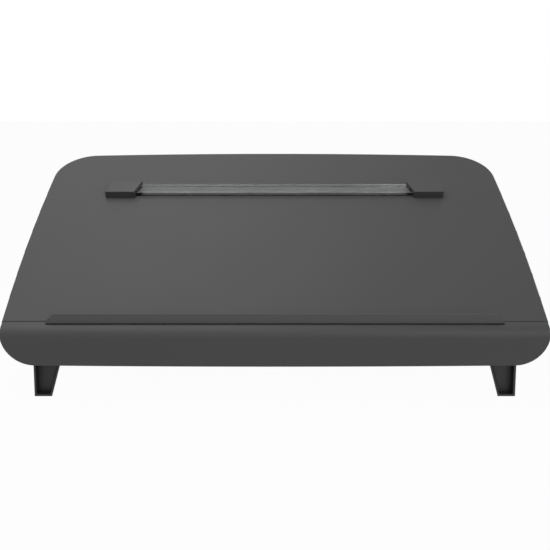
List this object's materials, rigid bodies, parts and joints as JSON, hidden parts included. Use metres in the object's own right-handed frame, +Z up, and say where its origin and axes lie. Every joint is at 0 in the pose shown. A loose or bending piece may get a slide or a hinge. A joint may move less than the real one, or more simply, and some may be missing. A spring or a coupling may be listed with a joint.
{
  "type": "document holder with drawer",
  "caption": "Sloped in-line document holder on channel legs, with a page ledge, a clear sliding line guide and a full-width drawer that pulls out level under the deck.",
  "frame": {"origin": "bottom centre of the bounding box, on the floor", "axes": "+X to the user's right, +Y to the rear, away from the user, +Z up; the drawer front faces -Y"},
  "size_m": [0.52, 0.2637, 0.2185],
  "materials": {
    "deck_paint": "satin charcoal powder coat",
    "ledge_paint": "satin charcoal powder coat",
    "housing_paint": "matt black coat",
    "front_plastic": "finely textured charcoal moulding",
    "tray_plastic": "matt black moulding",
    "runner_plastic": "natural low-friction moulding",
    "leg_plastic": "matt black moulding",
    "foot_rubber": "matt black rubber",
    "clear_acrylic": "clear acrylic, polished",
    "cap_plastic": "satin black moulding",
    "pad_fabric": "short black pile",
    "magnet_nickel": "nickel plate",
    "fastener_steel": "zinc plate"
  },
  "bodies": {
    "stand": {"top_plate": "deck_paint", "page_ledge": "ledge_paint", "ledge_nuts": "fastener_steel", "drawer_housing": "housing_paint", "housing_cover": "housing_paint", "cover_rivets": "fastener_steel", "leg_screws": "fastener_steel", "leg_nuts": "fastener_steel", "right_runner": "runner_plastic", "left_runner": "runner_plastic", "right_front_leg": "leg_plastic", "left_front_leg": "leg_plastic", "right_rear_leg": "leg_plastic", "left_rear_leg": "leg_plastic", "right_front_foot": "foot_rubber", "left_front_foot": "foot_rubber", "right_rear_foot": "foot_rubber", "left_rear_foot": "foot_rubber"},
    "drawer": {"drawer_tray": "tray_plastic", "drawer_front": "front_plastic", "drawer_front_screws": "fastener_steel"},
    "line_guide": {"guide_bar": "clear_acrylic", "right_guide_cap": "cap_plastic", "left_guide_cap": "cap_plastic", "right_glide_pad": "pad_fabric", "left_glide_pad": "pad_fabric", "right_magnet": "magnet_nickel", "left_magnet": "magnet_nickel"}
  },
  "joints": [
    {"name": "drawer_slide", "type": "slide", "parent": "stand", "child": "drawer", "axis": [0, -1, 0], "range_m": [0, 0.16]},
    {"name": "guide_slide", "type": "slide", "parent": "stand", "child": "line_guide", "axis": [0, 0.866, 0.5], "range_m": [-0.18, 0.055]}
  ]
}
